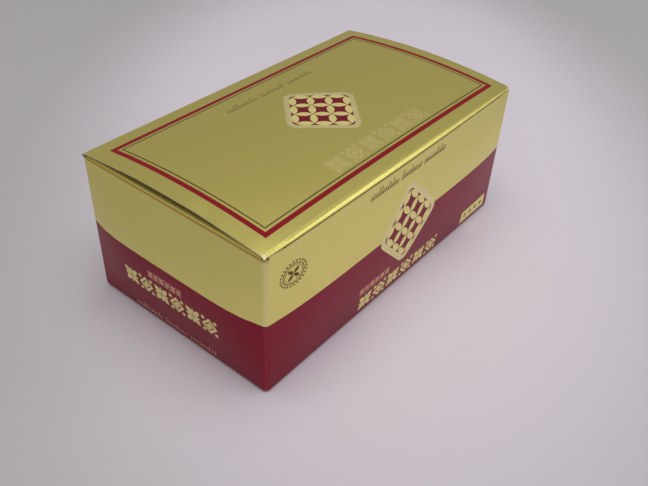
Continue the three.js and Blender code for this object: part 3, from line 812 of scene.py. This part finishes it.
stroke_words("lid_strokes", ((-24.8, -9.4), (-5.6, 7.4), (11.0, 25.0)),
             24.2, 4.3, umber_ink, on_lid, "lid")
stroke_words("front_strokes", ((-25.0, -8.8), (-5.5, 6.7), (10.0, 24.2)),
             56.0, 4.4, copper_ink, on_front, "carton")
stroke_words("end_strokes", ((-24.4, -10.0), (-7.4, 3.8), (6.8, 19.6)),
             2.1, 3.6, rose_ink, on_left_end, "carton")

# An oval mark is printed in brown near the front wall's left corner: a thin ring, a ring of dots round it
# and a plain four-petalled flower in its middle.
dot_ring, ring_in, ring_out = nodes_group("dot_ring", [
    ("Count", "NodeSocketInt", 24), ("Radius", "NodeSocketFloat", 4.75),
    ("Dot radius", "NodeSocketFloat", 0.36), ("Ink", "NodeSocketMaterial", None)])
circle = dot_ring.nodes.new("GeometryNodeMeshCircle")
dot = dot_ring.nodes.new("GeometryNodeMeshCylinder")
dot.inputs["Vertices"].default_value = 10
dot.inputs["Depth"].default_value = 1.0
dots = dot_ring.nodes.new("GeometryNodeInstanceOnPoints")
dots_joined = dot_ring.nodes.new("GeometryNodeRealizeInstances")
dots_inked = dot_ring.nodes.new("GeometryNodeSetMaterial")
for source, target in (
        (ring_in.outputs["Count"], circle.inputs["Vertices"]),
        (ring_in.outputs["Radius"], circle.inputs["Radius"]),
        (ring_in.outputs["Dot radius"], dot.inputs["Radius"]),
        (circle.outputs[0], dots.inputs["Points"]),
        (dot.outputs[0], dots.inputs["Instance"]),
        (dots.outputs[0], dots_joined.inputs[0]),
        (dots_joined.outputs[0], dots_inked.inputs[0]),
        (ring_in.outputs["Ink"], dots_inked.inputs["Material"]),
        (dots_inked.outputs[0], ring_out.inputs[0])):
    dot_ring.links.new(source, target)
mark_ink = printed_finish("dark_brown_ink", (0.17, 0.080, 0.024), 0.25, 0.45)
mark_u, mark_v, mark_stretch = -67.0, 49.3, 1.32
mark_dots = plain_result("mark_dots", dot_ring, {
    "Count": 24, "Radius": 4.75, "Dot radius": 0.36, "Ink": mark_ink})
for vert in mark_dots.data.vertices:
    vert.co.x = mark_u + mark_stretch * vert.co.x
    vert.co.y += mark_v
laid_on(mark_dots, on_front, "carton")


def stretched(loop):
    return [(mark_u + mark_stretch * u, mark_v + v) for u, v in loop]


for k, (outer, inner) in enumerate(((4.0, 3.68), (3.3, 3.14))):
    rim, holes = ring(0, 0, outer, inner)
    printed_fields(f"mark_ring_print_{k + 1}", [(stretched(rim), [stretched(hole) for hole in holes])],
                   on_front, mark_ink, "carton")
printed_fields("mark_flower_print", [stretched(lens(1.5 * math.cos(t), 1.5 * math.sin(t), 2.7, 1.25, t))
                                     for t in (math.radians(45 + 90 * k) for k in range(4))],
               on_front, mark_ink, "carton")

# Thirty flat sachets stand on edge in the carton like cards. Each is foil film, heat-sealed all round with
# ribbed jaws, over a bed of powder that swells its middle.
sachet_wide, sachet_tall = 0.083, 0.054
side_seal, bottom_seal, top_seal = 0.006, 0.007, 0.009
pouch_wide, pouch_tall = sachet_wide - 2 * side_seal, sachet_tall - bottom_seal - top_seal
sachet_full, sachet_flat, swell_power = 0.0045, 0.00042, 0.7
rib_depth, pucker_depth, pucker_rate = 0.00007, 0.00012, 1900
seal_columns = [0, 0.002, 0.004, side_seal]
across = seal_columns + [side_seal + pouch_wide * i / 14 for i in range(1, 14)]
across += [sachet_wide - y for y in reversed(seal_columns)]
up = [bottom_seal * i / 10 for i in range(11)]
up += [bottom_seal + pouch_tall * i / 10 for i in range(1, 10)]
up += [sachet_tall - top_seal + top_seal * i / 14 for i in range(15)]
vertices, faces = [], []
for side in (1, -1):
    for j, z in enumerate(up):
        for y in across:
            s = min(max((y - side_seal) / pouch_wide, 0), 1)
            t = min(max((z - bottom_seal) / pouch_tall, 0), 1)
            full = (math.sin(math.pi * s) * math.sin(math.pi * t)) ** swell_power
            pucker = pucker_depth * math.sin(y * pucker_rate) * (1 - t) * full
            rib = rib_depth * (-1) ** j if z <= bottom_seal or z >= sachet_tall - top_seal else 0
            x = side * (sachet_flat / 2 + (sachet_full - sachet_flat) / 2 * full) + rib + pucker
            vertices.append((x, y - sachet_wide / 2, z))
columns, levels = len(across), len(up)
other_film = columns * levels
for j in range(levels - 1):
    for i in range(columns - 1):
        a = j * columns + i
        b = a + other_film
        faces.append((a, a + 1, a + columns + 1, a + columns))
        faces.append((b + columns, b + columns + 1, b + 1, b))
for j in range(levels - 1):
    for i in (0, columns - 1):
        a = j * columns + i
        b = a + other_film
        faces.append((a, a + columns, b + columns, b))
for i in range(columns - 1):
    for j in (0, levels - 1):
        a = j * columns + i
        b = a + other_film
        faces.append((a, a + 1, b + 1, b))
one_sachet = plain_mesh("one_sachet", vertices, faces)
tidied = bmesh.new()
tidied.from_mesh(one_sachet.data)
bmesh.ops.recalc_face_normals(tidied, faces=tidied.faces)
for face in tidied.faces:
    face.smooth = True
tidied.to_mesh(one_sachet.data)
tidied.free()

sachet_film, tree, shader = finish_named("sachet_foil_film")
grain = tree.nodes.new("ShaderNodeGroup")
grain.node_tree = foil_grain
grain.inputs["Wave size"].default_value = 190.0
stripe_level, stripe_half, stripe_sharpness = 0.0445, 0.0016, 9000.0
off_stripe = calc(tree, "ABSOLUTE", calc(tree, "SUBTRACT", place_axes(tree)["Z"], stripe_level))
within_stripe = calc(tree, "SUBTRACT", stripe_half, off_stripe)
stripe = clamped(tree, calc(tree, "MULTIPLY", within_stripe, stripe_sharpness))
tree.links.new(blended_colour(tree, stripe, (0.84, 0.81, 0.72), burgundy_colour), shader.inputs["Base Color"])
relief(tree, grain.outputs["Height"], 0.35, 0.0008)
shader.inputs["Metallic"].default_value = 0.35
shader.inputs["Roughness"].default_value = satin

# Each sachet stands in its own solid's place in the row, turned a little one way or the other.
sachet_names = sorted(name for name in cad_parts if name.startswith("sachet_"))
seats = []
for name in sachet_names:
    low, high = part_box(name)
    seats.append(((low[0] + high[0]) / 2, (low[1] + high[1]) / 2, low[2] + 0.0001))
seat_points = plain_mesh("seat_points", seats, [])
sachet_row, row_in, row_out = nodes_group("sachet_row", [
    ("Seats", "NodeSocketObject", None), ("Sachet", "NodeSocketObject", None),
    ("Least turn", "NodeSocketFloat", -0.004), ("Most turn", "NodeSocketFloat", 0.004),
    ("Seed", "NodeSocketInt", 11), ("Film", "NodeSocketMaterial", None)])
seat_info = sachet_row.nodes.new("GeometryNodeObjectInfo")
sachet_info = sachet_row.nodes.new("GeometryNodeObjectInfo")
turn = sachet_row.nodes.new("FunctionNodeRandomValue")
turned = sachet_row.nodes.new("ShaderNodeCombineXYZ")
stood = sachet_row.nodes.new("GeometryNodeInstanceOnPoints")
stood_joined = sachet_row.nodes.new("GeometryNodeRealizeInstances")
stood_film = sachet_row.nodes.new("GeometryNodeSetMaterial")
for source, target in (
        (row_in.outputs["Seats"], seat_info.inputs["Object"]),
        (row_in.outputs["Sachet"], sachet_info.inputs["Object"]),
        (row_in.outputs["Least turn"], turn.inputs[2]),
        (row_in.outputs["Most turn"], turn.inputs[3]),
        (row_in.outputs["Seed"], turn.inputs["Seed"]),
        (turn.outputs[1], turned.inputs[2]),
        (seat_info.outputs["Geometry"], stood.inputs["Points"]),
        (sachet_info.outputs["Geometry"], stood.inputs["Instance"]),
        (turned.outputs[0], stood.inputs["Rotation"]),
        (stood.outputs[0], stood_joined.inputs[0]),
        (stood_joined.outputs[0], stood_film.inputs[0]),
        (row_in.outputs["Film"], stood_film.inputs["Material"]),
        (stood_film.outputs[0], row_out.inputs[0])):
    sachet_row.links.new(source, target)
sachets = plain_result("sachets", sachet_row, {
    "Seats": seat_points, "Sachet": one_sachet, "Film": sachet_film})
bpy.data.objects.remove(seat_points)
bpy.data.objects.remove(one_sachet)
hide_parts(*sachet_names)
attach(sachets, "carton")
